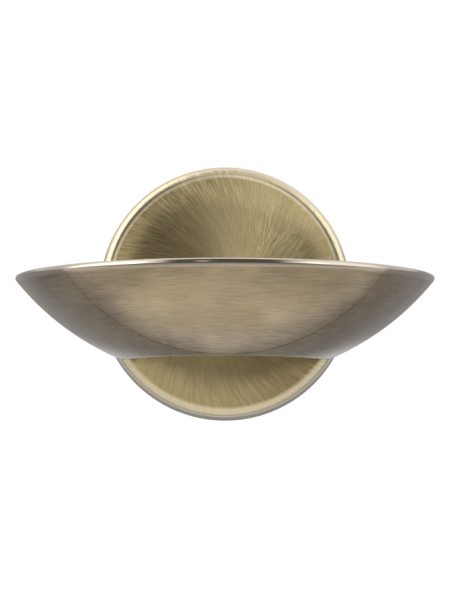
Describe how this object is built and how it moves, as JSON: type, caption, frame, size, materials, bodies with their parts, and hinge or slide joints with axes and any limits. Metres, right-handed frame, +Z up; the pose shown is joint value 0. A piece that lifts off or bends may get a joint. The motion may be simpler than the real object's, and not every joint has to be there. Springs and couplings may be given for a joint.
{
  "type": "led wall light",
  "caption": "Antique brass wall light: a half-bowl dish with a rolled rim stands in front of a round plate and lights the wall above and below.",
  "frame": {"origin": "centre of the wall plate, in the plane of the wall", "axes": "+X to the right across the dish, +Y into the wall, +Z up; the dish stands out along -Y"},
  "size_m": [0.21, 0.107, 0.128],
  "materials": {
    "plate_brass": "radially brushed antique brass, lacquered",
    "dish_brass": "horizontally brushed antique brass, polished rim",
    "zinc_steel": "zinc plated",
    "tinned_copper": "tinned, satin",
    "bright_brass": "plain",
    "copper_stud": "copper flashed steel",
    "black_rubber": "matte",
    "clear_silicone": "satin",
    "cream_plastic": "satin",
    "white_plastic": "satin",
    "brown_sleeve": "satin",
    "blue_sleeve": "satin",
    "green_yellow_sleeve": "satin",
    "red_sleeve": "satin",
    "black_sleeve": "satin",
    "carrier_aluminium": "mill finish",
    "board_mask": "white solder mask, satin",
    "chip_white": "satin",
    "phosphor_yellow": "satin",
    "frosted_glass": "acid etched",
    "frosted_lens": "frosted acrylic"
  },
  "bodies": {
    "fixture": {"wall_bracket": "zinc_steel", "cable_grommet": "black_rubber", "terminal_block": "cream_plastic", "terminal_screws": "bright_brass", "block_screw": "zinc_steel", "earth_screw": "bright_brass", "earth_stud": "copper_stud", "earth_nut": "bright_brass", "ring_terminals": "tinned_copper", "earth_lead": "green_yellow_sleeve", "wall_plate": "plate_brass", "side_screws": "plate_brass", "driver_case": "white_plastic", "driver_studs": "copper_stud", "driver_nuts": "zinc_steel", "live_lead": "brown_sleeve", "neutral_lead": "blue_sleeve", "led_positive_lead": "red_sleeve", "led_negative_lead": "black_sleeve", "wire_grommet": "black_rubber", "dish": "dish_brass", "back_panel": "plate_brass", "dish_screws": "zinc_steel", "dish_nuts": "zinc_steel", "led_carrier": "carrier_aluminium", "upper_led_board": "board_mask", "lower_led_board": "board_mask", "led_chips": "chip_white", "led_phosphor": "phosphor_yellow", "board_screws": "zinc_steel", "board_connector": "white_plastic", "link_positive_lead": "red_sleeve", "link_negative_lead": "black_sleeve", "link_grommet": "black_rubber", "glass_ledge": "plate_brass", "glass_pads": "clear_silicone", "lower_lens": "frosted_lens"},
    "glass": {"glass_diffuser": "frosted_glass"}
  },
  "joints": [
    {"name": "glass_lift", "type": "slide", "parent": "fixture", "child": "glass", "axis": [0, 0, 1], "range_m": [0, 0.04]}
  ]
}
